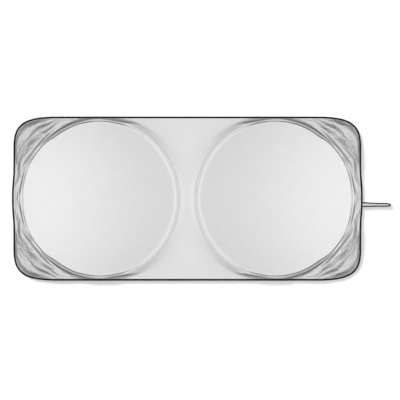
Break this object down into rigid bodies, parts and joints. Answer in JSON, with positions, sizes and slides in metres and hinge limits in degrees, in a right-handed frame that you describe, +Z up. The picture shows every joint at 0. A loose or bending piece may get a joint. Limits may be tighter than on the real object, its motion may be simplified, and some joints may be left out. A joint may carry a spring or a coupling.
{
  "type": "windscreen sunshade",
  "caption": "Fold-up windscreen sunshade of silver-coated cloth, held open by sprung steel hoops, with a black bound edge and an elastic loop that keeps it folded.",
  "frame": {"origin": "on the floor, under the middle of the sheet as it lies flat, silver side up", "axes": "+X along the length, towards the short side with the elastic loop; +Y across, towards the windscreen's top edge; +Z up, out of the silver side"},
  "size_m": [1.6244, 0.703, 0.0106],
  "materials": {
    "silver_cloth": "silver-coated woven polyester, soft sheen",
    "black_tape": "matte black woven binding tape",
    "grey_tape": "matte grey woven casing tape",
    "spring_steel": "bright spring steel strip",
    "crimped_steel": "plated, crimped",
    "black_elastic": "black braided elastic cord"
  },
  "bodies": {
    "root": {"silver_sheet": "silver_cloth", "edge_binding": "black_tape", "left_casing": "grey_tape", "right_casing": "grey_tape", "left_hoop": "spring_steel", "right_hoop": "spring_steel", "left_hoop_ferrule": "crimped_steel", "right_hoop_ferrule": "crimped_steel", "elastic_loop": "black_elastic"}
  },
  "joints": []
}
